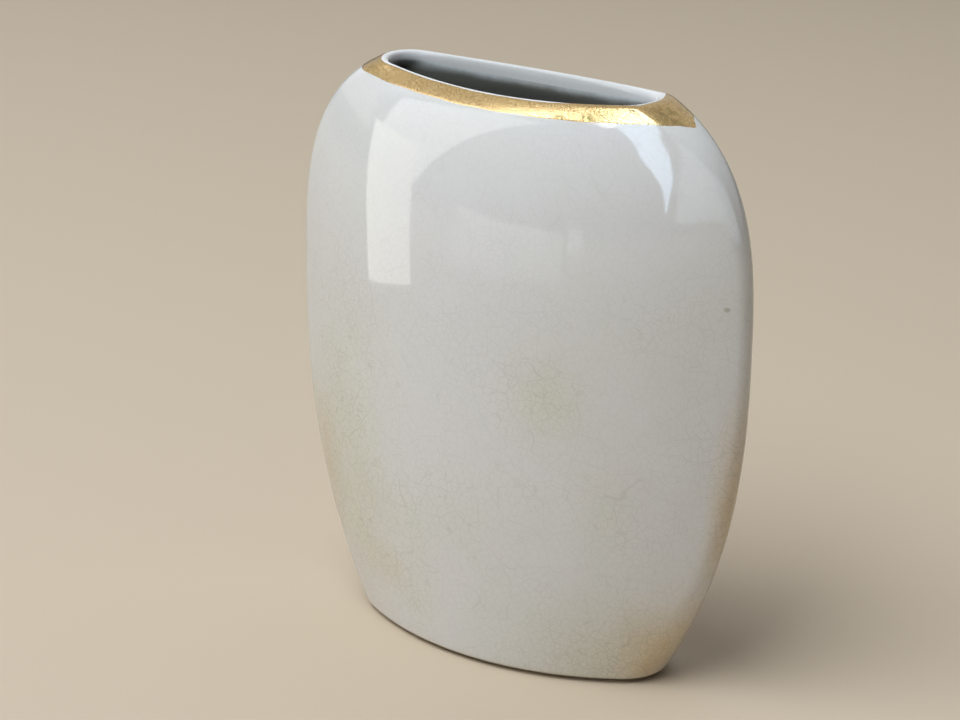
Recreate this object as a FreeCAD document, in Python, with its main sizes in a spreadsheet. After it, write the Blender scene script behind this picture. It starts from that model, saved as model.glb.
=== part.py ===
"""Pillow-shaped porcelain vase with a gilded rim.

The vase stands on the origin: X runs along its width, Y through its depth, Z up.
Every horizontal section is an almond: two small end arcs joined by two long side arcs.
The lip is a shallow saddle, higher at its two ends than in the middle.
"""
import FreeCAD, Part

import math
import os

import Sketcher

DIMENSIONS = {
    # overall size, in millimetres
    "lip_level": 140.0,
    "body_width": 121.0,
    "body_depth": 47.0,
    "widest_level": 84.0,
    "foot_width": 81.0,
    "foot_depth": 39.0,
    # above the widest level the outline is a superellipse that would close this far up
    "width_reach": 61.2,
    "depth_reach": 60.2,
    "width_curve": 2.95,
    "depth_curve": 2.37,
    # below it the outline draws in by a power of the distance
    "width_taper": 2.45,
    "depth_taper": 2.3,
    # radius of the two end arcs at the foot, the widest level and the lip
    "foot_end": 11.2,
    "waist_end": 4.2,
    "lip_end": 7.7,
    # lip, mouth and gilding
    "lip_dip": 1.65,
    "lip_half_span": 36.8,
    "mouth_width": 70.8,
    "mouth_depth": 22.6,
    "mouth_end": 6.7,
    "throat_bottom": 130.0,
    "gold_level": 136.4,
    "gold_dip": 1.3,
    "gold_half_span": 43.1,
    # thickness of each layer, measured level
    "gilding": 0.2,
    "outer_coat": 0.3,
    "inner_coat": 0.25,
    "wall": 3.0,
    # the roof of the hollow lies lower and its ends are rounder than an even wall gives
    "roof_drop": 2.0,
    "hollow_end_drop": 1.5,
    "floor_level": 5.0,
    "floor_round": 3.0,
    "hollow_top": 137.5,
    # foot
    "foot_gap": 0.9,
    "edge_round": 1.2,
    "foot_inset": 2.0,
    "foot_ring": 3.0,
    # construction
    "form_top": 140.6,
    "cut_half_width": 65.0,
    "cut_top": 150.0,
    "cut_depth": 80.0,
}

LOWER_STATIONS = (0.15, 0.35, 0.6, 0.8, 1.0)
UPPER_STATIONS = (0.3, 0.5, 0.68, 0.8, 0.88, 0.94, 0.975, 1.0)
BASE_TURN = (90.0, 67.5, 45.0, 22.5, 0.0)

ORIGIN = -1
AXIS_X = -1
AXIS_Y = -2
START = 1
END = 2
CENTRE = 3


def make_sheet(doc):
    """The driving dimensions, one alias a row."""
    sheet = doc.addObject("Spreadsheet::Sheet", "Dims")
    for row, (alias, value) in enumerate(DIMENSIONS.items(), start=1):
        sheet.set(f"A{row}", alias)
        sheet.set(f"B{row}", str(value))
        sheet.setAlias(f"B{row}", alias)
    return sheet


class Outline:
    """A sheet of worked-out sizes: each almond's level, centres and radii."""

    def __init__(self, doc):
        self.doc = doc
        self.sheet = doc.addObject("Spreadsheet::Sheet", "Outline")
        self.rows = 0

    def cell(self, alias, formula):
        self.rows += 1
        self.sheet.set(f"A{self.rows}", alias)
        self.sheet.set(f"B{self.rows}", "=" + formula)
        self.sheet.setAlias(f"B{self.rows}", alias)
        return alias

    def almond(self, name, level, half_width, half_depth, end_radius):
        """Cells of one almond section, given formulas for its level and sizes."""
        z = self.cell(f"{name}_level", level)
        a = self.cell(f"{name}_half_width", half_width.format(z=z))
        b = self.cell(f"{name}_half_depth", half_depth.format(z=z))
        r = self.cell(f"{name}_end_radius", end_radius.format(z=z))
        c = self.cell(f"{name}_end_offset", f"{a} - {r}")
        self.cell(f"{name}_side_radius", f"({c} ^ 2 + {b} ^ 2 - {r} ^ 2) / (2 * ({b} - {r}))")

    def read(self, name, size):
        return float(self.sheet.get(f"{name}_{size}"))


def upper_half(size, inset, drop):
    """Formula of a half width or depth above the widest level."""
    rise = f"(({{z}} - Dims.widest_level) / (Dims.{size}_reach - {drop}))"
    curve = f"Dims.{size}_curve"
    return f"Dims.body_{size} / 2 * (1 - {rise} ^ {curve}) ^ (1 / {curve}) - ({inset})"


def lower_half(size, inset):
    """Formula of a half width or depth below the widest level."""
    fall = "((Dims.widest_level - {z}) / Dims.widest_level)"
    drawn_in = f"(Dims.body_{size} - Dims.foot_{size}) / 2 * {fall} ^ Dims.{size}_taper"
    return f"Dims.body_{size} / 2 - {drawn_in} - ({inset})"


def end_radius(limit, span, drop):
    """Formula of the end radius, easing from the widest level to the foot or lip."""
    away = f"(({{z}} - Dims.widest_level) / ({span})) ^ 2"
    return f"Dims.waist_end + (Dims.{limit}_end - Dims.waist_end) * {away} - ({drop})"


def lower_sizes(inset, end_drop):
    """Formulas of width, depth and end radius below the widest level."""
    return (
        lower_half("width", inset),
        lower_half("depth", inset),
        end_radius("foot", "Dims.widest_level", end_drop),
    )


def upper_sizes(inset, roof_drop, end_drop):
    """Formulas of width, depth and end radius above the widest level."""
    return (
        upper_half("width", inset, roof_drop),
        upper_half("depth", inset, roof_drop),
        end_radius("lip", "Dims.lip_level - Dims.widest_level", end_drop),
    )


def wall_stations(outline, name, bottom, top, inset, roof_drop, end_drop):
    """Almonds of one form from the top of its rounded base to its top; returns their names."""
    stations = [(bottom, lower_sizes(inset, end_drop))]
    for share in LOWER_STATIONS:
        level = f"{bottom} + (Dims.widest_level - ({bottom})) * {share}"
        stations.append((level, lower_sizes(inset, end_drop)))
    for share in UPPER_STATIONS:
        level = f"Dims.widest_level + ({top} - Dims.widest_level) * {share}"
        stations.append((level, upper_sizes(inset, roof_drop, end_drop)))
    names = [f"{name}_wall_{index}" for index in range(len(stations))]
    for station, (level, sizes) in zip(names, stations):
        outline.almond(station, level, *sizes)
    return names


def base_stations(outline, name, bottom, radius, inset, end_drop):
    """Almonds of a form's rounded base, a quarter turn of the given radius."""
    names = []
    for index, degrees in enumerate(BASE_TURN):
        angle = math.radians(degrees)
        drawn_in = f"({radius}) * {1 - math.cos(angle):.6f}"
        level = f"{bottom} + ({radius}) * {1 - math.sin(angle):.6f}"
        station = f"{name}_base_{index}"
        sizes = lower_sizes(f"{inset} + {drawn_in}", f"{end_drop} + {drawn_in}")
        outline.almond(station, level, *sizes)
        names.append(station)
    return names


def origin_plane(body, role):
    return next(plane for plane in body.Origin.OriginFeatures if plane.Role == role)


def new_sketch(body, name, role):
    sketch = body.newObject("Sketcher::SketchObject", name)
    sketch.AttachmentSupport = [(origin_plane(body, role), "")]
    sketch.MapMode = "FlatFace"
    return sketch


def arc(x, y, radius, start, end):
    circle = Part.Circle(FreeCAD.Vector(x, y, 0), FreeCAD.Vector(0, 0, 1), radius)
    return Part.ArcOfCircle(circle, start, end)


def bind(sketch, kind, geometry, name, value, expression):
    """A driving constraint that follows a sheet cell."""
    index = sketch.addConstraint(Sketcher.Constraint(kind, *geometry, value))
    sketch.renameConstraint(index, name)
    sketch.setExpression(f"Constraints.{name}", expression)


def almond_sketch(body, outline, station, at_station_level=True):
    """Closed almond of four tangent arcs, bound to the cells of one station."""
    sketch = new_sketch(body, f"{station}_sketch", "XY_Plane")
    end = outline.read(station, "end_radius")
    offset = outline.read(station, "end_offset")
    side = outline.read(station, "side_radius")
    depth = side - outline.read(station, "half_depth")
    turn = math.atan2(depth, offset)
    sketch.addGeometry([
        arc(offset, 0, end, -turn, turn),
        arc(0, -depth, side, turn, math.pi - turn),
        arc(-offset, 0, end, math.pi - turn, math.pi + turn),
        arc(0, depth, side, math.pi + turn, 2 * math.pi - turn),
    ])
    for index in range(4):
        sketch.addConstraint(Sketcher.Constraint("Tangent", index, END, (index + 1) % 4, START))
    sketch.addConstraint(Sketcher.Constraint("PointOnObject", 0, CENTRE, AXIS_X))
    sketch.addConstraint(Sketcher.Constraint("PointOnObject", 1, CENTRE, AXIS_Y))
    sketch.addConstraint(Sketcher.Constraint("Symmetric", 0, CENTRE, 2, CENTRE, ORIGIN, START))
    sketch.addConstraint(Sketcher.Constraint("Equal", 1, 3))
    bind(sketch, "Radius", (0,), "end", end, f"Outline.{station}_end_radius")
    bind(sketch, "Radius", (1,), "side", side, f"Outline.{station}_side_radius")
    bind(sketch, "DistanceX", (ORIGIN, START, 0, CENTRE), "offset", offset,
         f"Outline.{station}_end_offset")
    if at_station_level:
        sketch.setExpression("AttachmentOffset.Base.z", f"Outline.{station}_level")
    return sketch


def loft(body, outline, stations):
    """Smooth loft through a form's almonds."""
    sketches = [almond_sketch(body, outline, station) for station in stations]
    feature = body.newObject("PartDesign::AdditiveLoft", "Loft")
    feature.Profile = sketches[0]
    feature.Sections = sketches[1:]
    feature.Ruled = False
    return feature


def column(body, outline, station, bottom, height):
    """Straight almond column, added to a form."""
    sketch = almond_sketch(body, outline, station, at_station_level=False)
    sketch.setExpression("AttachmentOffset.Base.z", bottom)
    pad = body.newObject("PartDesign::Pad", "Column")
    pad.Profile = sketch
    pad.setExpression("Length", height)
    return pad


def recess(body, outline, station, depth):
    """Almond pocket cut upwards from the standing level."""
    sketch = almond_sketch(body, outline, station, at_station_level=False)
    pocket = body.newObject("PartDesign::Pocket", "Recess")
    pocket.Profile = sketch
    pocket.Reversed = True
    pocket.setExpression("Length", depth)
    return pocket


def saddle_cells(outline, name, level, dip, half_span, lowered):
    """Cells of a saddle arc through a level at both ends of a span and dipping between."""
    radius = outline.cell(f"{name}_radius", f"({half_span} ^ 2 + {dip} ^ 2) / (2 * {dip})")
    outline.cell(f"{name}_centre", f"{level} - {dip} - ({lowered}) + {radius}")
    return name


def saddle_cut(body, outline, saddle, limit):
    """Cut away one side of a saddle, which curves with the width and is level in depth."""
    half = outline.sheet.evalExpression("Dims.cut_half_width")
    far = outline.sheet.evalExpression(limit)
    radius = outline.read(saddle, "radius")
    centre = outline.read(saddle, "centre")
    edge = centre - math.sqrt(radius ** 2 - half ** 2)
    swing = math.asin(half / radius)
    corner = [
        FreeCAD.Vector(x, z, 0)
        for x, z in ((half, edge), (half, far), (-half, far), (-half, edge))
    ]
    sketch = new_sketch(body, f"{saddle}_sketch", "XZ_Plane")
    sketch.addGeometry([
        arc(0, centre, radius, -math.pi / 2 - swing, -math.pi / 2 + swing),
        Part.LineSegment(corner[0], corner[1]),
        Part.LineSegment(corner[1], corner[2]),
        Part.LineSegment(corner[2], corner[3]),
    ])
    for index in range(4):
        joint = ("Coincident", index, END, (index + 1) % 4, START)
        sketch.addConstraint(Sketcher.Constraint(*joint))
    sketch.addConstraint(Sketcher.Constraint("Vertical", 1))
    sketch.addConstraint(Sketcher.Constraint("Vertical", 3))
    sketch.addConstraint(Sketcher.Constraint("Horizontal", 2))
    sketch.addConstraint(Sketcher.Constraint("PointOnObject", 0, CENTRE, AXIS_Y))
    bind(sketch, "Radius", (0,), "saddle", radius, f"Outline.{saddle}_radius")
    bind(sketch, "DistanceY", (ORIGIN, START, 0, CENTRE), "centre", centre,
         f"Outline.{saddle}_centre")
    bind(sketch, "DistanceX", (ORIGIN, START, 1, END), "half", half, "Dims.cut_half_width")
    bind(sketch, "DistanceY", (ORIGIN, START, 1, END), "limit", far, limit)
    pocket = body.newObject("PartDesign::Pocket", f"{saddle}_cut")
    pocket.Profile = sketch
    pocket.SideType = "Symmetric"
    pocket.setExpression("Length", "Dims.cut_depth")
    return pocket


def cut(doc, name, base, tools):
    """Boolean cut of a form by one or more others."""
    for number, tool in enumerate(tools, start=1):
        feature = doc.addObject("Part::Cut", f"{name}_cut_{number}")
        feature.Base = base
        feature.Tool = tool
        base = feature
    base.Label = name
    base.Placement = FreeCAD.Placement()
    return base


def check(doc, parts):
    """Stop before writing if anything failed."""
    for item in doc.Objects:
        if "Invalid" in item.State or "Error" in item.State:
            raise RuntimeError(f"{item.Label} failed: {item.State}")
    for part in parts:
        if part.Shape.isNull() or not part.Shape.isValid():
            raise RuntimeError(f"{part.Label} has no valid shape")
        if len(part.Shape.Solids) != 1:
            raise RuntimeError(f"{part.Label} is {len(part.Shape.Solids)} solids, not one")


def rounded_form(doc, outline, name, bottom, top, radius, inset, roof_drop="0", end_drop=None):
    """A body lofted from a rounded base up to a level top."""
    end_drop = end_drop or inset
    body = doc.addObject("PartDesign::Body", name)
    base = base_stations(outline, name, bottom, radius, inset, end_drop)
    wall = wall_stations(outline, name, f"{bottom} + {radius}", top, inset, roof_drop, end_drop)
    doc.recompute()
    loft(body, outline, base)
    loft(body, outline, wall)
    return body


def outer_form(doc, outline, name, inset):
    """The whole outside of the vase, drawn in by an inset."""
    return rounded_form(doc, outline, name, bottom="Dims.foot_gap", top="Dims.form_top",
                        radius=f"Dims.edge_round - ({inset})", inset=inset)


def hollow_form(doc, outline, name, lining):
    """The hollow and its throat, drawn in by the lining that coats it."""
    body = rounded_form(
        doc, outline, name, bottom=f"Dims.floor_level + {lining}",
        top=f"Dims.hollow_top - {lining}", radius=f"Dims.floor_round - {lining}",
        inset=f"Dims.outer_coat + Dims.wall + {lining}", roof_drop="Dims.roof_drop",
        end_drop=f"Dims.hollow_end_drop + {lining}")
    throat = f"{name}_throat"
    grown = f"Dims.inner_coat - {lining}"
    outline.almond(throat, "Dims.throat_bottom", f"Dims.mouth_width / 2 + {grown}",
                   f"Dims.mouth_depth / 2 + {grown}", f"Dims.mouth_end + {grown}")
    doc.recompute()
    column(body, outline, throat, "Dims.throat_bottom", "Dims.cut_top - Dims.throat_bottom")
    return body


def foot_sections(outline):
    """Almonds of the foot ring's outer and inner sides."""
    sizes = {"foot_outside": "Dims.foot_inset", "foot_inside": "Dims.foot_inset + Dims.foot_ring"}
    for name, inset in sizes.items():
        outline.almond(name, "0", f"Dims.foot_width / 2 - ({inset})",
                       f"Dims.foot_depth / 2 - ({inset})", f"Dims.foot_end - ({inset})")


def main():
    doc = FreeCAD.newDocument("PorcelainVase")
    make_sheet(doc)
    outline = Outline(doc)
    lip = ("Dims.lip_level", "Dims.lip_dip", "Dims.lip_half_span")
    saddle_cells(outline, "lip", *lip, "0")
    saddle_cells(outline, "fired_lip", *lip, "Dims.outer_coat")
    saddle_cells(outline, "gold_edge", "Dims.gold_level", "Dims.gold_dip", "Dims.gold_half_span", "0")
    foot_sections(outline)
    doc.recompute()

    coat = outer_form(doc, outline, "coat_form", "0")
    saddle_cut(coat, outline, "lip", "Dims.cut_top")

    gilded = outer_form(doc, outline, "gilded_form", "-Dims.gilding")
    saddle_cut(gilded, outline, "lip", "Dims.cut_top")
    saddle_cut(gilded, outline, "gold_edge", "-Dims.cut_top")

    fired = outer_form(doc, outline, "fired_form", "Dims.outer_coat")
    column(fired, outline, "foot_outside", "0", "Dims.foot_gap + Dims.edge_round")
    recess(fired, outline, "foot_inside", "Dims.foot_gap + Dims.outer_coat")
    saddle_cut(fired, outline, "fired_lip", "Dims.cut_top")

    underside = doc.addObject("PartDesign::Body", "underside_form")
    column(underside, outline, "foot_inside", "Dims.foot_gap", "Dims.outer_coat")

    hollow = hollow_form(doc, outline, "hollow_form", "0")
    saddle_cut(hollow, outline, "lip", "Dims.cut_top")
    lined_hollow = hollow_form(doc, outline, "lined_hollow_form", "Dims.inner_coat")
    doc.recompute()

    parts = [
        cut(doc, "porcelain_body", fired, [hollow]),
        cut(doc, "outer_glaze", coat, [fired, hollow, underside]),
        cut(doc, "inner_glaze", hollow, [lined_hollow]),
        cut(doc, "gold_rim_band", gilded, [coat]),
        underside,
    ]
    underside.Label = "underside_glaze"
    doc.recompute()
    check(doc, parts)

    os.makedirs("parts", exist_ok=True)
    for part in parts:
        part.Shape.exportStep(os.path.join("parts", f"{part.Label}.step"))
        print(f"{part.Label}: {part.Shape.Volume:.1f} cubic mm")


main()
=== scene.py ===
"""Looks of the porcelain vase: quad meshes for its five pieces, their materials, the camera and the studio.

Metres throughout. The vase stands on the origin, X along its width, Y through its depth, Z up. Every level
section is an almond of four tangent arcs. So each piece is a set of columns spread round that almond, and a
column is a profile that follows the piece's upright section.
"""

import math

import bmesh
import bpy
from mathutils import Matrix, Vector


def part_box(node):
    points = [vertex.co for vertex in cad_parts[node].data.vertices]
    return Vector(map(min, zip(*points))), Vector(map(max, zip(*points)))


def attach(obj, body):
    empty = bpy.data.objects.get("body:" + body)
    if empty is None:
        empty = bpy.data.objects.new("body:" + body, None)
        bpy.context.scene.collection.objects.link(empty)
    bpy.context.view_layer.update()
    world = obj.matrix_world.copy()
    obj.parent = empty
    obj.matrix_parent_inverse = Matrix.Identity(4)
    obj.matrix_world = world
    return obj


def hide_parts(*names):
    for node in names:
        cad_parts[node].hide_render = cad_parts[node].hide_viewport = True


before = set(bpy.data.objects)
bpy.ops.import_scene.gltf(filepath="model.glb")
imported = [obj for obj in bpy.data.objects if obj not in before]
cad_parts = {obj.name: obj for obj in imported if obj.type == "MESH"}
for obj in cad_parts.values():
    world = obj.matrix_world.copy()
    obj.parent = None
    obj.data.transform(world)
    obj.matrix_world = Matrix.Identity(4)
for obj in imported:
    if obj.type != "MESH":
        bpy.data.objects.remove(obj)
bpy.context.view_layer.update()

MM = 0.001

# Sizes read from the CAD nodes
COAT_LOW, COAT_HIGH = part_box("outer_glaze")
BODY_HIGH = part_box("porcelain_body")[1]
UNDER_LOW, UNDER_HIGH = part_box("underside_glaze")
BASE = COAT_LOW.z
LIP = COAT_HIGH.z
COAT = COAT_HIGH.x - BODY_HIGH.x
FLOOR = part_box("inner_glaze")[0].z
WIDEST_SHARE = 0.6
WIDEST = WIDEST_SHARE * LIP
WAIST = Vector((0, 0, WIDEST))

# The outline's own proportions: a superellipse above the widest level, a power of the distance below it
WIDTH = {"half": COAT_HIGH.x, "foot": 40.5 * MM, "reach": 61.2 * MM, "curve": 2.95, "taper": 2.45}
DEPTH = {"half": COAT_HIGH.y, "foot": 19.5 * MM, "reach": 60.2 * MM, "curve": 2.37, "taper": 2.3}
FOOT_END = 11.2 * MM
WAIST_END = 4.2 * MM
LIP_END = 7.7 * MM
EDGE_ROUND = 1.2 * MM
WALL_CLOSING = 1.6

# Lip, mouth and gilding. The mouth is drawn in at its right end. The gilding covers a share of the lip's
# turn, more of it where it has spilt over in front and at the right end. Its lower edge sags at the
# right end.
LIP_DIP = 1.65 * MM
LIP_HALF_SPAN = 36.8 * MM
LIP_ROUND = 0.55 * MM
MOUTH_HALF_WIDTH = 35.4 * MM
MOUTH_HALF_DEPTH = 11.3 * MM
MOUTH_END = 6.7 * MM
MOUTH_ROUND = {"middle": 3.2 * MM, "end": 1.8 * MM}
MOUTH_SHORT = {"by": 2.4 * MM, "from": 14.0 * MM, "to": 35.0 * MM}
THROAT = {"middle": 5.4 * MM, "end": 2.8 * MM}
THROAT_STRAIGHT = 0.72
GOLD_LEVEL = 136.4 * MM
GOLD_DIP = 1.3 * MM
GOLD_HALF_SPAN = 43.1 * MM
GOLD_OVER_LIP = 0.20
GOLD_SPILL = {"x": 25.0 * MM, "width": 8.0 * MM, "reach": 0.42}
GOLD_END_SPILL = {"from": 31.0 * MM, "to": 36.5 * MM, "reach": 0.24}
GOLD_SAG = {"y": -0.3 * MM, "near": 4.2 * MM, "far": 2.0 * MM, "drop": 1.35 * MM}
GOLD_LOW_WOBBLE = {"by": 0.06 * MM, "long": 3.1 * MM, "short": 1.3 * MM, "through": 4.0 * MM}
GOLD_HIGH_WOBBLE = {"by": 0.02, "length": 2.3 * MM}
GOLD_PROUD = 0.014 * MM
GOLD_SUNK = 0.005 * MM

# Hollow, with the bend under the shoulder pulled up along its wall
LINING = 0.25 * MM
WALL = 3.0 * MM
ROOF_DROP = 2.0 * MM
HOLLOW_END_DROP = 1.5 * MM
HOLLOW_SHOULDER = 127.0 * MM
SHOULDER_PULL = 5.0
FLOOR_ROUND = 3.0 * MM

# Foot: the ring's edges turn from a share of its width in to a share further in, where the flat begins
FOOT_INSET = 2.0 * MM
FOOT_ROUND = 0.35 * MM
FOOT_TURN = 0.04
FOOT_FLAT = 0.14

# Mesh density: columns round a quarter of the almond, rows along each stretch of a profile, the angle from
# which an edge shows as sharp, and how often a level on a saddle-shaped cut is worked out again
END_STEPS = 9
SIDE_STEPS = 50
QUARTER_STEPS = END_STEPS + SIDE_STEPS
WALL_ROWS = 90
INNER_WALL_ROWS = 36
LIP_ROWS = 10
GOLD_ROWS = 12
THROAT_ROWS = 5
SHOULDER_ROWS = 12
ROUND_ROWS = 6
FOOT_ROWS = 4
SHARP_FROM = math.radians(30)
SADDLE_ROUNDS = 24

# Colours, as linear red, green and blue
GLAZE_ROSY = (0.745, 0.725, 0.715)
GLAZE_CREAM = (0.735, 0.722, 0.692)
GLAZE_SHADE = (0.705, 0.70, 0.665)
GREEN_TAN = (0.66, 0.62, 0.42)
ORANGE_TAN = (0.68, 0.50, 0.26)
CRACK_STAIN = (0.36, 0.34, 0.24)
SPECK_BROWN = (0.24, 0.17, 0.09)
INSIDE_COOL = (0.76, 0.79, 0.79)
INSIDE_GREY = (0.73, 0.75, 0.73)
# Painted shade for the shadow inside the mouth, below the lip
INSIDE_PAINTED_SHADE = (0.17, 0.16, 0.125)
INSIDE_SPECK = (0.18, 0.12, 0.07)
GOLD_WARM = (0.74, 0.545, 0.27)
GOLD_DEEP = (0.66, 0.48, 0.235)
GOLD_GRAIN = (0.84, 0.66, 0.38)
GOLD_PIT = (0.46, 0.31, 0.13)
# Dark olive of the specks towards the ends and of a few spots on the band
GOLD_DARK_OLIVE = (0.26, 0.24, 0.085)
BODY_PALE = (0.74, 0.70, 0.61)
BODY_DARK = (0.66, 0.61, 0.51)
BODY_GRIME = (0.33, 0.28, 0.21)
POOLED_PALE = (0.71, 0.69, 0.63)
POOLED_DARK = (0.66, 0.62, 0.52)
PORE_BROWN = (0.30, 0.25, 0.18)

# Crack networks: scale and reach of the noise they wander with, size of their cells and width of their lines
CRAZING = {"scale": 260.0, "wander": 0.9 * MM, "cell": 1.9 * MM, "width": 0.11 * MM}
FINE_CRAZING = {"scale": 420.0, "wander": 0.5 * MM, "cell": 1.15 * MM, "width": 0.08 * MM}
LONG_CRAZING = {"scale": 120.0, "wander": 2.2 * MM, "cell": 7.0 * MM, "width": 0.13 * MM}
INSIDE_CRAZING = {"scale": 260.0, "wander": 0.9 * MM, "cell": 2.2 * MM, "width": 0.10 * MM}
UNDERSIDE_CRAZING = {"scale": 140.0, "wander": 1.6 * MM, "cell": 4.0 * MM, "width": 0.09 * MM}

# Marks: centre and half sizes in millimetres, and strength
GREEN_STAINS = [
    ((-42, -12, 48), (30, 28, 66), 0.34),
    ((-28, -18, 24), (34, 18, 32), 0.34),
    ((21, -21, 73), (18, 10, 19), 0.30),
    ((33, -17, 52), (18, 10, 22), 0.20),
    ((2, -22, 38), (22, 10, 24), 0.16),
    ((32, -14, 6), (34, 16, 26), 0.30),
    ((-30, 19, 50), (28, 12, 40), 0.40),
    ((34, 18, 24), (24, 12, 28), 0.45),
]
ORANGE_STAINS_AND_SHADE = [
    ((-52, -6, 34), (13, 18, 30), 0.50),
    ((-30, -19, 17), (14, 8, 10), 0.16),
    # Partly a stain, partly painted shade and a painted reflection of a wooden table along the right end
    ((60, 0, 36), (9, 14, 50), 0.95),
    # Partly a stain, partly painted contact shade at the right base corner
    ((45, -6, 2), (20, 16, 30), 0.85),
    ((48, 8, 30), (16, 16, 30), 0.40),
    ((-48, 8, 20), (16, 16, 24), 0.45),
]
SPECKS = [
    ((56.8, -4.8, 96.3), (1.0, 1.0, 0.8), 1.0),
    ((-21.0, 20.6, 101.0), (0.8, 0.8, 0.8), 1.0),
]
INSIDE_SPECKS = [
    ((20.5, 11.3, 134.6), (0.7, 0.7, 0.6), 0.85),
]
GOLD_WEAR_AND_SPOTS = [
    # The first two are dark greenish spots on the front of the band; the rest are wear towards its ends and
    # at the back
    ((17.6, -12.8, 135.7), (2.4, 1.6, 1.0), 0.9),
    ((23.6, -11.4, 136.3), (3.2, 1.8, 1.4), 0.95),
    ((39.5, -3.5, 138.4), (5.5, 5.0, 3.0), 0.35),
    ((-34.0, 8.0, 138.5), (4.0, 3.0, 2.0), 0.5),
    ((12.0, 13.0, 136.5), (5.0, 2.5, 1.5), 0.7),
]

# How strong the marks and the painted shade inside the mouth may get, and where they start and end
STAIN_LIMIT = 0.9
SPECK_LIMIT = 0.45
CRACK_LIMIT = 0.40
CRACKS_FADE = {"above": 128.0 * MM, "below": 92.0 * MM, "share": 0.45}
# Painted shade inside the mouth: depth below the lip where it starts and where it is full, raggedness of its
# edge, strongest share
INSIDE_SHADE = {"from": 2.2 * MM, "to": 5.0 * MM, "ragged": 2.0 * MM, "most": 0.86}
END_WEAR = {"from": 30.0 * MM, "to": 43.0 * MM, "least": 0.02, "most": 0.25}
GRIME = {"up_to": 0.5 * MM, "least": 0.15, "most": 0.7}

# Depths of the surface's relief; cracks and pores are sunk
RIPPLE = 0.03 * MM
CRACK_DEPTH = -0.0006 * MM
INSIDE_RIPPLE = 0.04 * MM
GOLD_STREAK = 0.008 * MM
GOLD_GRAIN_DEPTH = 0.020 * MM
BODY_GRAIN_DEPTH = 0.03 * MM
PORE_DEPTH = -0.05 * MM

# The camera's angles and roll are in degrees, and the two lens sizes in millimetres
CAMERA = {"azimuth": 32.61, "elevation": 20.744, "roll": 0.585, "distance": 677.36 * MM,
          "lens": 107.98, "sensor": 36.0}
CAMERA_AIM = Vector((-7.9 * MM, -4.7 * MM, 70.7 * MM))
CLIP_START = 10 * MM
FLOOR_HALF = 6.0
FLOOR_BEIGE = (0.58, 0.47, 0.345)
FLOOR_ROUGHNESS = 0.6
ROOM_AIR = (0.9, 0.95, 1.0)
ROOM_LIGHT = 0.05

# Outlines of the soft panels, each corner an azimuth and an elevation in degrees
OUTLINES = {
    "sky_overhead": [(-62, 36), (12, 36), (40, 78), (-100, 78)],
    "sky_left": [(-68, 2), (-50, 0), (-46, 7), (-40, 15), (-28, 31), (-20, 37), (-37, 37), (-48, 32),
                 (-63, 21)],
    "sky_right": [(2, 36), (11, 28), (15, 21), (22, 12), (25, 3), (25, 13), (22, 22), (13, 32), (12, 38)],
    "sky_gap": [(-38, 37), (-24, 40), (-8, 40), (-1, 36), (17, 36), (18, 41), (-4, 39), (-12, 43),
                (-28, 43)],
    "eaves": [(-135, 4), (-72, 4), (-69, 17), (-60, 25), (-48, 34), (-38, 39), (-28, 44), (-12, 45),
              (-4, 41), (18, 43), (20, 36), (34, 36), (40, 72), (-45, 76), (-135, 72)],
    "eaves_right": [(34, 36), (60, 38), (130, 25), (130, 72), (40, 72)],
    "zenith": [(-135, 71), (-45, 71), (45, 71), (135, 71)],
    "sky_far_right": [(28, 0), (105, 0), (100, 25), (60, 36), (24, 30)],
    "sky_behind": [(130, 20), (250, 20), (240, 68), (140, 68)],
    "wall_behind": [(130, 3), (250, 3), (240, 68), (140, 68)],
    "window_left": [(-69, -14.5), (-50.5, -13.5), (-50.5, 16), (-69, 16)],
    "pale_wall": [(-36, -8), (2, -8), (2, 3), (-33, 5)],
    "small_window": [(3.5, -1.5), (8, -1.5), (8, 4.5), (3.5, 4.5)],
    "sky_slit": [(28.8, 14), (29.6, 14), (35.3, 2), (34.4, 2)],
}

# Their distances, colours and strengths, and what each one shows in
FAR = 2.0
NEAR = 0.27
NEAREST = 0.26
SOFTBOXES = {
    "sky_overhead": (FAR, (0.85, 0.925, 1.0), 6.75, "diffuse"),
    "sky_left": (FAR, (1.0, 0.97, 0.97), 2.4, "gloss"),
    "sky_right": (FAR, (0.62, 0.80, 1.0), 7.6, "gloss"),
    "sky_gap": (FAR, (1.0, 1.0, 1.0), 9.0, "gloss"),
    "eaves": (FAR, (1.0, 0.97, 0.90), 0.62, "gloss"),
    "eaves_right": (FAR, (1.0, 0.97, 0.9), 0.45, "gloss"),
    "zenith": (FAR, (1.0, 0.97, 0.9), 0.5, "gloss"),
    "sky_far_right": (FAR, (0.74, 0.88, 1.0), 1.7, "gloss"),
    "sky_behind": (FAR, (0.95, 0.97, 1.0), 0.9, "diffuse"),
    "wall_behind": (FAR, (1.0, 0.97, 0.92), 0.55, "gloss"),
    "window_left": (NEAREST, (1.0, 0.98, 0.90), 3.15, "gloss"),
    "pale_wall": (NEAR, (1.0, 0.98, 0.98), 1.15, "gloss"),
    "small_window": (NEAR, (1.0, 1.0, 1.0), 1.4, "gloss"),
    "sky_slit": (FAR, (0.85, 0.93, 1.0), 12.0, "gloss"),
}


# ---------------------------------------------------------------- form

def mix(start, end, share):
    return start + (end - start) * share


def shares(rows, power=1.0):
    """Shares from 0 to 1, closing up towards 1 when the power is above 1."""
    return [1 - (1 - row / rows) ** power for row in range(rows + 1)]


def eased(value, start, end):
    """0 up to the start and 1 from the end, smooth between."""
    share = min(max((value - start) / (end - start), 0.0), 1.0)
    return share * share * (3 - 2 * share)


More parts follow.
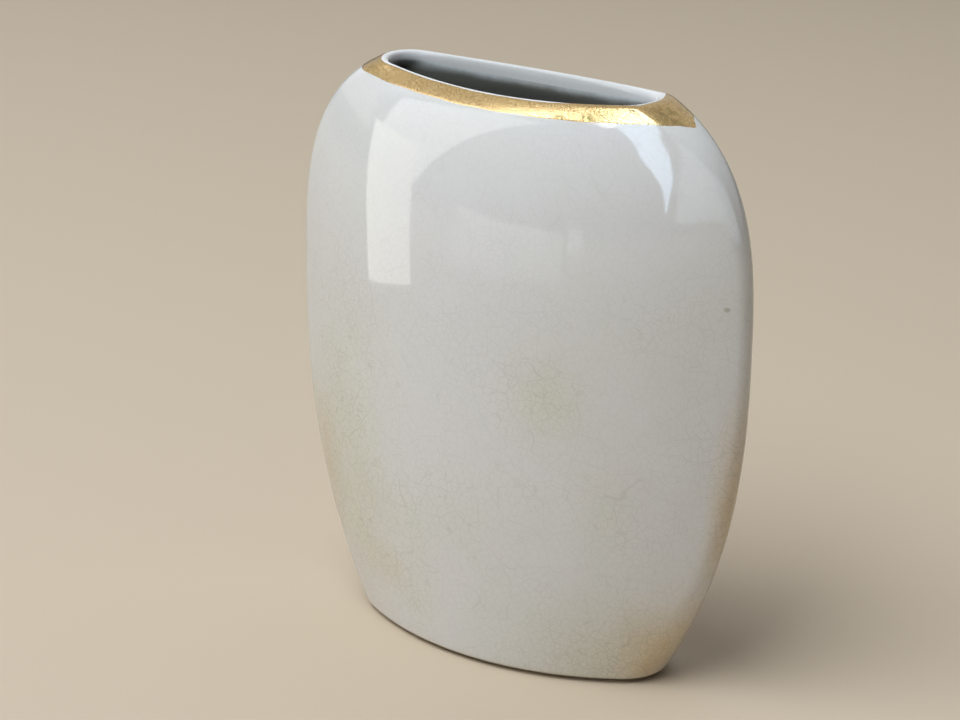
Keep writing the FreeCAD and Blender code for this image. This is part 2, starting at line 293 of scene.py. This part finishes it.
def half_size(outline, level, roof_drop=0.0):
    """Half width or half depth of the outside at a level."""
    if level >= WIDEST:
        rise = (level - WIDEST) / (outline["reach"] - roof_drop)
        return outline["half"] * (1 - rise ** outline["curve"]) ** (1 / outline["curve"])
    fall = (WIDEST - level) / WIDEST
    return outline["half"] - (outline["half"] - outline["foot"]) * fall ** outline["taper"]


def end_radius(level):
    """Radius of the outside's two end arcs at a level."""
    if level >= WIDEST:
        return WAIST_END + (LIP_END - WAIST_END) * ((level - WIDEST) / (LIP - WIDEST)) ** 2
    return WAIST_END + (FOOT_END - WAIST_END) * ((WIDEST - level) / WIDEST) ** 2


def almond(half_width, half_depth, end, column):
    """Point of an almond section on one column, as x and y."""
    quarter, step = divmod(column, QUARTER_STEPS)
    if quarter % 2:
        step = QUARTER_STEPS - step
    reach = half_width - end
    side = (reach ** 2 + half_depth ** 2 - end ** 2) / (2 * (half_depth - end))
    drop = side - half_depth
    split = math.atan2(drop, reach)
    if step < END_STEPS:
        turn = split * step / END_STEPS
        x, y = reach + end * math.cos(turn), end * math.sin(turn)
    else:
        turn = mix(split, math.pi / 2, (step - END_STEPS) / SIDE_STEPS)
        x, y = side * math.cos(turn), side * math.sin(turn) - drop
    return (x if quarter in (0, 3) else -x), (y if quarter in (0, 1) else -y)


COLUMNS = range(4 * QUARTER_STEPS)


def outside(column, level, inset=0.0):
    """Point of the vase's outside, drawn in by an inset."""
    sizes = [half_size(outline, level) - inset for outline in (WIDTH, DEPTH)]
    x, y = almond(*sizes, end_radius(level) - inset, column)
    return Vector((x, y, level))


def hollow(column, level, lining):
    """Point of the hollow's wall, drawn in by the lining that coats it."""
    inset = COAT + WALL + lining
    sizes = [half_size(outline, level, ROOF_DROP) - inset for outline in (WIDTH, DEPTH)]
    x, y = almond(*sizes, end_radius(level) - HOLLOW_END_DROP - lining, column)
    return Vector((x, y, level))


def lip_level(x):
    """Level of the lip, which is lower in its middle than at its ends."""
    return LIP - LIP_DIP * (1 - (x / LIP_HALF_SPAN) ** 2)


def gold_level(x):
    """Level of the gilding's lower edge, which dips with the lip."""
    return GOLD_LEVEL - GOLD_DIP * (1 - (x / GOLD_HALF_SPAN) ** 2)


def level_on(column, saddle):
    """Level at which a column of the outside meets a saddle-shaped cut."""
    level = LIP
    for _ in range(SADDLE_ROUNDS):
        level = saddle(outside(column, level).x)
    return level


def mouth(column, below_lip, lining=0.0):
    """Point of the mouth's upright face, so far below the lip."""
    x, y = almond(MOUTH_HALF_WIDTH + lining, MOUTH_HALF_DEPTH + lining, MOUTH_END + lining, column)
    x -= MOUTH_SHORT["by"] * eased(x, MOUTH_SHORT["from"], MOUTH_SHORT["to"])
    return Vector((x, y, lip_level(x) - below_lip))


def along_mouth(sizes, x):
    """A size that changes from the mouth's middle to its ends."""
    return mix(sizes["middle"], sizes["end"], (x / MOUTH_HALF_WIDTH) ** 2)


def bezier(points, rows, reach=1.0):
    """Points along a cubic curve from the first of four points towards the last."""
    first, second, third, last = points
    found = []
    for step in range(rows + 1):
        share = reach * step / rows
        rest = 1 - share
        found.append(first * rest ** 3 + second * 3 * rest ** 2 * share
                     + third * 3 * rest * share ** 2 + last * share ** 3)
    return found


# ---------------------------------------------------------------- profiles

def base_round(column, inset):
    """The outside's quarter turn from its flat base up into the wall."""
    radius = EDGE_ROUND - inset
    found = []
    for share in shares(ROUND_ROWS):
        turn = share * math.pi / 2
        level = BASE + inset + radius * (1 - math.cos(turn))
        drawn_in = radius * (1 - math.sin(turn))
        found.append(outside(column, level, inset + drawn_in))
    return found


def outer_wall(column, inset, top, rows):
    """The outside from the rounded base up to a level."""
    bottom = BASE + EDGE_ROUND
    return [outside(column, mix(bottom, top, share), inset) for share in shares(rows, WALL_CLOSING)][1:]


def lip_turn(column, inset, lining, lowered, rows=LIP_ROWS, reach=1.0):
    """The rounded lip, from the outside over the top and into the mouth."""
    top = level_on(column, lip_level)
    start = outside(column, top - LIP_ROUND - lowered, inset)
    corner = outside(column, top - lowered, inset)
    turn = along_mouth(MOUTH_ROUND, mouth(column, 0.0).x)
    edge = mouth(column, lowered - (turn - LIP_ROUND) / 3, lining)
    end = mouth(column, turn + lowered, lining)
    return bezier((start, corner, edge, end), rows, reach)


def throat(column, lining):
    """The mouth's upright face and the turn under the shoulder into the hollow."""
    x = mouth(column, 0.0).x
    height = along_mouth(THROAT, x)
    top, bottom = along_mouth(MOUTH_ROUND, x), height * THROAT_STRAIGHT
    face = [mouth(column, mix(top, bottom, share), LINING - lining) for share in shares(THROAT_ROWS)]
    corner = mouth(column, height, LINING - lining)
    shoulder = hollow(column, HOLLOW_SHOULDER, lining)
    rise = (hollow(column, HOLLOW_SHOULDER + MM, lining) - shoulder) * SHOULDER_PULL
    return face + bezier((face[-1], corner, shoulder + rise, shoulder), SHOULDER_ROWS)[1:]


def hollow_wall(column, lining, rows):
    """The hollow from its shoulder down to its rounded floor."""
    radius = FLOOR_ROUND - lining
    bottom = FLOOR + lining
    down = [hollow(column, mix(HOLLOW_SHOULDER, bottom + radius, share), lining) for share in shares(rows)]
    for share in shares(ROUND_ROWS)[1:]:
        turn = share * math.pi / 2
        level = bottom + radius * (1 - math.sin(turn))
        drawn_in = radius * (1 - math.cos(turn))
        down.append(hollow(column, level, lining + drawn_in))
    return down[1:]


def coat_profile(column):
    """The outer glaze: its outside, the lip, and back down along the porcelain."""
    top = level_on(column, lip_level) - LIP_ROUND
    foot = outside(column, BASE, FOOT_INSET)
    face = [foot] + base_round(column, 0.0) + outer_wall(column, 0.0, top, WALL_ROWS)[:-1]
    face += lip_turn(column, 0.0, 0.0, 0.0)
    under = base_round(column, COAT) + outer_wall(column, COAT, top - COAT, INNER_WALL_ROWS)[:-1]
    under += lip_turn(column, COAT, LINING, COAT)
    return face + under[::-1] + [foot + Vector((0, 0, COAT))]


def foot_point(column, side, level):
    """Point of the foot ring's outer or inner side."""
    if side == "outer":
        sizes = (WIDTH["foot"] - FOOT_INSET, DEPTH["foot"] - FOOT_INSET, FOOT_END - FOOT_INSET)
    else:
        sizes = (UNDER_HIGH.x, UNDER_HIGH.y, FOOT_END - (WIDTH["foot"] - UNDER_HIGH.x))
    x, y = almond(*sizes, column)
    return Vector((x, y, level))


def ring_edge(column, side, other):
    """The foot ring's rounded edge on one side, from its upright face in to its flat."""
    corner = foot_point(column, side, 0.0)
    across = foot_point(column, other, 0.0)
    turned = [mix(corner, across, share) for share in (FOOT_TURN, FOOT_FLAT)]
    return bezier((foot_point(column, side, FOOT_ROUND), corner, *turned), FOOT_ROWS)


def body_profile(column):
    """The porcelain: underside, foot ring, outside, lip, throat and hollow."""
    ring = [foot_point(column, "inner", UNDER_HIGH.z)]
    ring += ring_edge(column, "inner", "outer") + ring_edge(column, "outer", "inner")[::-1]
    ring += [foot_point(column, "outer", BASE)]
    top = level_on(column, lip_level) - LIP_ROUND
    walls = base_round(column, COAT) + outer_wall(column, COAT, top - COAT, INNER_WALL_ROWS)[:-1]
    walls += lip_turn(column, COAT, LINING, COAT)
    inside = throat(column, 0.0)[1:] + hollow_wall(column, 0.0, INNER_WALL_ROWS)
    return ring + walls + inside


def lining_profile(column):
    """The inner glaze: down the porcelain's inside and back up as the lined face."""
    lined = throat(column, LINING) + hollow_wall(column, LINING, INNER_WALL_ROWS)
    backed = throat(column, 0.0) + hollow_wall(column, 0.0, INNER_WALL_ROWS)
    return backed[::-1] + lined


def underside_profile(column):
    """The patch of glaze inside the foot ring."""
    return [foot_point(column, "inner", UNDER_LOW.z), foot_point(column, "inner", UNDER_HIGH.z)]


def bell(value, centre, width):
    """1 at the centre, falling away smoothly over a width."""
    return math.exp(-((value - centre) / width) ** 2)


def gilded_low(column, x, y):
    """Level of the gilding's painted lower edge, which wobbles and sags at the right end."""
    wobble = math.sin(x / GOLD_LOW_WOBBLE["long"])
    wobble += math.sin(x / GOLD_LOW_WOBBLE["short"] + y / GOLD_LOW_WOBBLE["through"])
    width = GOLD_SAG["near"] if y < GOLD_SAG["y"] else GOLD_SAG["far"]
    sag = GOLD_SAG["drop"] * bell(y, GOLD_SAG["y"], width) if x > 0 else 0.0
    return level_on(column, gold_level) + GOLD_LOW_WOBBLE["by"] * wobble - sag


def gilded_reach(x, y):
    """Share of the lip's turn that the gilding covers."""
    spill = GOLD_SPILL["reach"] * bell(x, GOLD_SPILL["x"], GOLD_SPILL["width"]) if y < 0 else 0.0
    end_spill = GOLD_END_SPILL["reach"] * eased(x, GOLD_END_SPILL["from"], GOLD_END_SPILL["to"])
    wobble = GOLD_HIGH_WOBBLE["by"] * math.sin(x / GOLD_HIGH_WOBBLE["length"])
    return GOLD_OVER_LIP + max(spill, end_spill) + wobble


def gilded_path(column):
    """Points on the glaze from the gilding's painted lower edge up and over the lip."""
    x, y, _ = outside(column, LIP)
    low = gilded_low(column, x, y)
    high = level_on(column, lip_level) - LIP_ROUND
    wall = [outside(column, mix(low, high, share)) for share in shares(GOLD_ROWS)]
    return wall[:-1] + lip_turn(column, 0.0, 0.0, 0.0, GOLD_ROWS, gilded_reach(x, y))


GILDED_PATHS = [gilded_path(column) for column in COLUMNS]


def gold_profile(column):
    """The gilding: a thin skin over the glaze, let into it along its two edges."""
    path = GILDED_PATHS[column]
    before, after = GILDED_PATHS[column - 1], GILDED_PATHS[(column + 1) % len(COLUMNS)]
    last = len(path) - 1
    face, back = [], []
    for row, point in enumerate(path):
        up = path[min(row + 1, last)] - path[max(row - 1, 0)]
        direction = (after[row] - before[row]).cross(up).normalized()
        face.append(point + direction * (-GOLD_SUNK if row in (0, last) else GOLD_PROUD))
        back.append(point - direction * GOLD_SUNK * 2)
    return face + back[::-1]


# ---------------------------------------------------------------- meshes

def skin(name, profile, ends_open=False):
    """Quad mesh of a profile carried round the almond; open ends are closed across the almond."""
    lines = [profile(column) for column in COLUMNS]
    mesh = bmesh.new()
    grid = [[mesh.verts.new(point) for point in line] for line in lines]
    count, rows = len(grid), len(grid[0])
    for column in range(count):
        here, after = grid[column], grid[(column + 1) % count]
        for row in range(rows - 1 if ends_open else rows):
            above = (row + 1) % rows
            mesh.faces.new((here[row], after[row], after[above], here[above]))
    if ends_open:
        for row in (0, rows - 1):
            for column in range(count // 2):
                corners = [grid[column][row], grid[column + 1][row],
                           grid[(count - column - 1) % count][row], grid[(count - column) % count][row]]
                mesh.faces.new(dict.fromkeys(corners))
    bmesh.ops.recalc_face_normals(mesh, faces=mesh.faces)
    for face in mesh.faces:
        face.smooth = True
    data = bpy.data.meshes.new(name)
    mesh.to_mesh(data)
    mesh.free()
    data.set_sharp_from_angle(angle=SHARP_FROM)
    piece = bpy.data.objects.new(name, data)
    bpy.context.scene.collection.objects.link(piece)
    return piece


def add_piece(name, profile, material, node, ends_open=False):
    """Make one piece, put it on the vase's body and let it stand for its CAD node."""
    piece = skin(name, profile, ends_open)
    piece.data.materials.append(material)
    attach(piece, "root")
    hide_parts(node)


# ---------------------------------------------------------------- materials

class Paint:
    """One procedural material, built node by node in the object's own coordinates."""

    def __init__(self, name, roughness, metallic=0.0):
        self.material = bpy.data.materials.new(name)
        self.material.use_nodes = True
        self.tree = self.material.node_tree
        self.shader = self.tree.nodes["Principled BSDF"]
        self.shader.inputs["Roughness"].default_value = roughness
        self.shader.inputs["Metallic"].default_value = metallic
        self.place = self.node("TexCoord").outputs["Object"]

    def node(self, kind, inputs=(), **settings):
        """A node whose inputs are given by name or number, as values or as other nodes' outputs."""
        made = self.tree.nodes.new(f"ShaderNode{kind}")
        for name, value in settings.items():
            setattr(made, name, value)
        for socket, value in dict(inputs).items():
            if isinstance(value, bpy.types.NodeSocket):
                self.tree.links.new(value, made.inputs[socket])
            else:
                made.inputs[socket].default_value = value
        return made

    def math(self, operation, first, second=0.0, third=0.0):
        """Arithmetic on values, each a number or another node's output."""
        inputs = {0: first, 1: second, 2: third}
        return self.node("Math", inputs, operation=operation).outputs[0]

    def scaled(self, scale, place=None):
        """Coordinates stretched by a scale along each axis."""
        inputs = {0: place or self.place, 1: scale}
        return self.node("VectorMath", inputs, operation="MULTIPLY").outputs["Vector"]

    def noise(self, scale, detail=3.0, roughness=0.5, place=None):
        """Cloudy values round 0.5, with about as many clouds a metre as the scale says."""
        inputs = {"Vector": place or self.place, "Scale": scale, "Detail": detail, "Roughness": roughness}
        return self.node("TexNoise", inputs).outputs["Fac"]

    def warped(self, scale, reach):
        """Coordinates pushed about by a noise, so that lines through them wander."""
        inputs = {"Vector": self.place, "Scale": scale, "Detail": 2.0}
        wander = self.node("TexNoise", inputs).outputs["Color"]
        middle = (0.5, 0.5, 0.5)
        centred = self.node("VectorMath", {0: wander, 1: middle}, operation="SUBTRACT").outputs[0]
        inputs = {0: centred, 1: (reach, reach, reach), 2: self.place}
        return self.node("VectorMath", inputs, operation="MULTIPLY_ADD").outputs["Vector"]

    def ramp(self, value, start, end, low=0.0, high=1.0):
        """A value carried smoothly from one range to another."""
        inputs = {"Value": value, 1: start, 2: end, 3: low, 4: high}
        return self.node("MapRange", inputs, interpolation_type="SMOOTHSTEP").outputs[0]

    def cracks(self, place, cell, width):
        """Lines of a crack network with cells of about one size; 1 on a line."""
        inputs = {"Vector": place, "Scale": 1 / cell}
        edge = self.node("TexVoronoi", inputs, feature="DISTANCE_TO_EDGE").outputs["Distance"]
        return self.ramp(edge, 0.0, width / cell, low=1.0, high=0.0)

    def crazing(self, scale, wander, cell, width):
        """A crack network whose lines wander with a noise of some scale and reach."""
        return self.cracks(self.warped(scale, wander), cell, width)

    def stain(self, centre, size, strength):
        """A soft ellipsoidal patch given in millimetres: its strength in the middle, and 0 outside."""
        middle = [length * MM for length in centre]
        inverse = [1 / (length * MM) for length in size]
        away = self.node("VectorMath", {0: self.place, 1: middle}, operation="SUBTRACT").outputs[0]
        share = self.node("VectorMath", {0: self.scaled(inverse, away)}, operation="LENGTH").outputs["Value"]
        return self.ramp(share, 1.0, 0.0, low=0.0, high=strength)

    def stains(self, table):
        """Several stains added up."""
        return self.total([self.stain(*given) for given in table])

    def total(self, values):
        """Sum of any number of values."""
        found = values[0]
        for value in values[1:]:
            found = self.math("ADD", found, value)
        return found

    def blend(self, share, first, second):
        """Colour mixed from two, each a colour or another node's output."""
        made = self.node("Mix", {"Factor": share}, data_type="RGBA")
        for socket, colour in zip((made.inputs[6], made.inputs[7]), (first, second)):
            if isinstance(colour, bpy.types.NodeSocket):
                self.tree.links.new(colour, socket)
            else:
                socket.default_value = (*colour, 1)
        return made.outputs[2]

    def height(self):
        """Level above the ground."""
        return self.node("SeparateXYZ", {0: self.place}).outputs["Z"]

    def drive(self, name, value):
        """Let a node's output set one of the shader's inputs."""
        self.tree.links.new(value, self.shader.inputs[name])

    def bump(self, layers):
        """Normal from several height layers, each a height value and its depth in metres."""
        normal = None
        for height, depth in layers:
            inputs = {"Height": height, "Distance": depth, "Strength": 1.0}
            if normal:
                inputs["Normal"] = normal
            normal = self.node("Bump", inputs).outputs["Normal"]
        self.drive("Normal", normal)


def crazed_glaze():
    """Clear gloss over white, finely crazed, with tan stains that soak in along the cracks; at the right end
    and its base corner these are partly painted shade and a painted reflection of a wooden table.
    """
    paint = Paint("crazed_glaze", 0.07)
    cracks = paint.crazing(**CRAZING)
    fine_cracks = paint.crazing(**FINE_CRAZING)
    long_cracks = paint.crazing(**LONG_CRAZING)

    cloud = paint.ramp(paint.noise(48.0, detail=4.0, roughness=0.6), 0.28, 0.72, low=0.60, high=1.20)
    green = paint.math("MULTIPLY", paint.stains(GREEN_STAINS), cloud)
    stretched = paint.scaled((1.0, 1.0, 0.6))
    drift = paint.noise(62.0, detail=4.0, roughness=0.6, place=stretched)
    drifted = paint.ramp(drift, 0.28, 0.72, low=0.5, high=1.2)
    # Tan stains; along the right end and at its base corner partly painted shade and a painted table
    # reflection
    orange_and_shade = paint.math("MULTIPLY", paint.stains(ORANGE_STAINS_AND_SHADE), drifted)
    soaked_and_shaded = paint.math("ADD", green, orange_and_shade)

    broad = paint.noise(26.0, detail=2.0)
    tinted = paint.blend(paint.ramp(broad, 0.38, 0.66), GLAZE_ROSY, GLAZE_CREAM)
    mottling = paint.noise(110.0, detail=4.0, roughness=0.65)
    mottled = paint.blend(paint.ramp(mottling, 0.42, 0.72, high=0.4), tinted, GLAZE_SHADE)
    greened = paint.blend(paint.math("MINIMUM", green, STAIN_LIMIT), mottled, GREEN_TAN)
    stained_and_shaded = paint.blend(paint.math("MINIMUM", orange_and_shade, STAIN_LIMIT), greened, ORANGE_TAN)

    fine_share = paint.ramp(paint.noise(34.0, detail=2.0), 0.42, 0.64, high=0.8)
    fine = paint.math("MULTIPLY", fine_cracks, fine_share)
    lines = paint.math("MAXIMUM", paint.math("MAXIMUM", cracks, long_cracks), fine)
    patches = paint.noise(45.0, detail=3.0, roughness=0.6)
    patchy = paint.ramp(patches, 0.34, 0.68, low=0.09, high=0.20)
    fade = paint.ramp(paint.height(), CRACKS_FADE["above"], CRACKS_FADE["below"], low=CRACKS_FADE["share"])
    fading = paint.math("MULTIPLY", patchy, fade)
    depth = paint.math("MINIMUM", paint.math("MULTIPLY_ADD", soaked_and_shaded, 0.42, fading), CRACK_LIMIT)
    crazed = paint.blend(paint.math("MULTIPLY", lines, depth), stained_and_shaded, CRACK_STAIN)

    speck = paint.math("MINIMUM", paint.stains(SPECKS), SPECK_LIMIT)
    paint.drive("Base Color", paint.blend(speck, crazed, SPECK_BROWN))
    gloss = paint.math("MULTIPLY_ADD", paint.noise(220.0, detail=2.0), 0.03, 0.018)
    paint.drive("Roughness", paint.math("MULTIPLY_ADD", lines, 0.04, gloss))
    paint.bump([(paint.noise(70.0, detail=2.0), RIPPLE), (lines, CRACK_DEPTH)])
    return paint.material


def inner_glaze():
    """The same glaze inside: white at the lip, with painted shade further down for the shadow inside the
    mouth, darker and rougher below a ragged edge.
    """
    paint = Paint("inner_glaze", 0.10)
    cracks = paint.crazing(**INSIDE_CRAZING)
    cloud = paint.ramp(paint.noise(60.0), 0.35, 0.7)
    white = paint.blend(cloud, INSIDE_COOL, INSIDE_GREY)

    # Painted shade: the glaze darkens and roughens from a ragged edge a little below the lip downwards
    axes = paint.node("SeparateXYZ", {0: paint.place}).outputs
    along = paint.math("DIVIDE", paint.math("ABSOLUTE", axes["X"]), LIP_HALF_SPAN)
    rise = paint.math("POWER", along, 2.0)
    lip = paint.math("MULTIPLY_ADD", rise, LIP_DIP, LIP - LIP_DIP)
    edge = paint.noise(150.0, roughness=0.6)
    ragged = paint.math("MULTIPLY_ADD", edge, INSIDE_SHADE["ragged"], -INSIDE_SHADE["ragged"] / 2)
    below = paint.math("ADD", paint.math("SUBTRACT", lip, axes["Z"]), ragged)
    painted_shade = paint.ramp(below, INSIDE_SHADE["from"], INSIDE_SHADE["to"], high=INSIDE_SHADE["most"])
    shaded = paint.blend(painted_shade, white, INSIDE_PAINTED_SHADE)

    crazed = paint.blend(paint.math("MULTIPLY", cracks, 0.16), shaded, CRACK_STAIN)
    paint.drive("Base Color", paint.blend(paint.stains(INSIDE_SPECKS), crazed, INSIDE_SPECK))
    gloss = paint.math("MULTIPLY_ADD", cloud, 0.06, 0.07)
    paint.drive("Roughness", paint.math("MULTIPLY_ADD", painted_shade, 0.35, gloss))
    paint.bump([(paint.noise(80.0, detail=2.0), INSIDE_RIPPLE)])
    return paint.material


def burnished_gold():
    """Fired gold laid with a brush: streaks along the rim, a granular shine, dark olive specks towards the
    ends and a few dark greenish spots.
    """
    paint = Paint("burnished_gold", 0.24, metallic=1.0)
    streaks = paint.noise(2600.0, roughness=0.6, place=paint.scaled((0.10, 0.25, 1.0)))
    grain = paint.noise(2300.0, roughness=0.65)
    cloud = paint.noise(170.0, roughness=0.6)
    warm = paint.blend(paint.ramp(cloud, 0.35, 0.7), GOLD_WARM, GOLD_DEEP)
    mottled = paint.blend(paint.ramp(grain, 0.42, 0.66, high=0.75), warm, GOLD_GRAIN)
    pitted = paint.blend(paint.ramp(grain, 0.47, 0.30, high=0.75), mottled, GOLD_PIT)

    along = paint.math("ABSOLUTE", paint.node("SeparateXYZ", {0: paint.place}).outputs["X"])
    at_ends = paint.ramp(along, END_WEAR["from"], END_WEAR["to"], END_WEAR["least"], END_WEAR["most"])
    wear_and_spots = paint.math("MINIMUM", paint.math("ADD", at_ends, paint.stains(GOLD_WEAR_AND_SPOTS)), 1.0)
    flecks = paint.ramp(paint.noise(700.0, detail=4.0, roughness=0.7), 0.44, 0.60)
    dark_flecks = paint.math("MULTIPLY", wear_and_spots, flecks)

    paint.drive("Base Color", paint.blend(dark_flecks, pitted, GOLD_DARK_OLIVE))
    shine = paint.math("MULTIPLY_ADD", streaks, 0.14, 0.13)
    paint.drive("Roughness", paint.math("MULTIPLY_ADD", dark_flecks, 0.25, shine))
    paint.bump([(streaks, GOLD_STREAK), (grain, GOLD_GRAIN_DEPTH)])
    return paint.material


def fired_porcelain():
    """Bare fired body at the foot: dry, fine-grained and greyed where it has stood."""
    paint = Paint("fired_porcelain", 0.75)
    grain = paint.noise(3000.0, detail=4.0, roughness=0.7)
    body = paint.blend(paint.ramp(paint.noise(120.0), 0.3, 0.7), BODY_PALE, BODY_DARK)
    stood = paint.ramp(paint.height(), GRIME["up_to"], 0.0, GRIME["least"], GRIME["most"])
    grime = paint.math("MULTIPLY", stood, paint.ramp(grain, 0.35, 0.65))
    paint.drive("Base Color", paint.blend(grime, body, BODY_GRIME))
    paint.drive("Roughness", paint.math("MULTIPLY_ADD", grain, 0.25, 0.62))
    paint.bump([(grain, BODY_GRAIN_DEPTH)])
    return paint.material


def underside_glaze():
    """The patch inside the foot ring: pooled glaze with pinholes."""
    paint = Paint("underside_glaze", 0.12)
    cracks = paint.crazing(**UNDERSIDE_CRAZING)
    cloud = paint.ramp(paint.noise(90.0), 0.35, 0.7)
    white = paint.blend(cloud, POOLED_PALE, POOLED_DARK)
    crazed = paint.blend(paint.math("MULTIPLY", cracks, 0.3), white, CRACK_STAIN)
    pores = paint.ramp(paint.noise(900.0, detail=1.0), 0.74, 0.80)
    paint.drive("Base Color", paint.blend(paint.math("MULTIPLY", pores, 0.7), crazed, PORE_BROWN))
    paint.drive("Roughness", paint.math("MULTIPLY_ADD", cloud, 0.08, 0.08))
    paint.bump([(paint.noise(90.0, detail=2.0), INSIDE_RIPPLE), (pores, PORE_DEPTH)])
    return paint.material


def plain(name, colour, roughness):
    """One even finish, for the studio only."""
    paint = Paint(name, roughness)
    paint.shader.inputs["Base Color"].default_value = (*colour, 1)
    return paint.material


# ---------------------------------------------------------------- camera and studio

def orbit(azimuth, elevation):
    """Unit vector from the object towards a place seen at these angles, in degrees."""
    turn, rise = math.radians(azimuth), math.radians(elevation)
    return Vector((math.sin(turn) * math.cos(rise), -math.cos(turn) * math.cos(rise), math.sin(rise)))


def add_camera():
    """A long lens, turned to the vase's right front and looking down on it."""
    back = orbit(CAMERA["azimuth"], CAMERA["elevation"])
    roll = math.radians(CAMERA["roll"])
    level_right = Vector((0, 0, 1)).cross(back).normalized()
    level_up = back.cross(level_right)
    right = level_right * math.cos(roll) + level_up * math.sin(roll)
    turned = Matrix((right, back.cross(right), back)).transposed().to_4x4()
    data = bpy.data.cameras.new("camera")
    data.lens = CAMERA["lens"]
    data.sensor_width = CAMERA["sensor"]
    data.clip_start = CLIP_START
    camera = bpy.data.objects.new("camera", data)
    camera.matrix_world = Matrix.Translation(CAMERA_AIM + back * CAMERA["distance"]) @ turned
    bpy.context.scene.collection.objects.link(camera)
    bpy.context.scene.camera = camera


def add_softbox(name, corners, distance, colour, strength, shows_in):
    """A soft panel between corners seen from the vase; it shows in gloss only, or lights surfaces only."""
    points = [WAIST + orbit(azimuth, elevation) * distance for azimuth, elevation in corners]
    mesh = bmesh.new()
    panel = mesh.faces.new([mesh.verts.new(point) for point in points])
    bmesh.ops.triangulate(mesh, faces=[panel])
    data = bpy.data.meshes.new(name)
    mesh.to_mesh(data)
    mesh.free()
    paint = Paint(name, 1.0)
    paint.shader.inputs["Base Color"].default_value = (0, 0, 0, 1)
    paint.shader.inputs["Emission Color"].default_value = (*colour, 1)
    paint.shader.inputs["Emission Strength"].default_value = strength
    data.materials.append(paint.material)
    softbox = bpy.data.objects.new(name, data)
    softbox.visible_camera = False
    softbox.visible_shadow = False
    softbox.visible_diffuse = shows_in == "diffuse"
    softbox.visible_glossy = shows_in == "gloss"
    bpy.context.scene.collection.objects.link(softbox)


def add_floor(material):
    """A wide plain floor at the vase's foot."""
    data = bpy.data.meshes.new("floor")
    corners = [(x * FLOOR_HALF, y * FLOOR_HALF, 0) for x, y in ((-1, -1), (1, -1), (1, 1), (-1, 1))]
    data.from_pydata(corners, [], [(0, 1, 2, 3)])
    floor = bpy.data.objects.new("floor", data)
    data.materials.append(material)
    bpy.context.scene.collection.objects.link(floor)


def add_world(colour, strength):
    """Faint even light from all round."""
    world = bpy.data.worlds.new("studio")
    world.use_nodes = True
    background = world.node_tree.nodes["Background"]
    background.inputs["Color"].default_value = (*colour, 1)
    background.inputs["Strength"].default_value = strength
    bpy.context.scene.world = world


# ---------------------------------------------------------------- scene

add_piece("glazed_outside", coat_profile, crazed_glaze(), "outer_glaze")
add_piece("porcelain_shell", body_profile, fired_porcelain(), "porcelain_body",
          ends_open=True)
add_piece("glazed_inside", lining_profile, inner_glaze(), "inner_glaze", ends_open=True)
add_piece("gilded_rim", gold_profile, burnished_gold(), "gold_rim_band")
add_piece("glazed_underside", underside_profile, underside_glaze(), "underside_glaze",
          ends_open=True)

add_camera()
add_floor(plain("pale_floor", FLOOR_BEIGE, FLOOR_ROUGHNESS))
add_world(ROOM_AIR, ROOM_LIGHT)
for box_name, settings in SOFTBOXES.items():
    add_softbox(box_name, OUTLINES[box_name], *settings)
bpy.context.scene.view_settings.view_transform = "Standard"
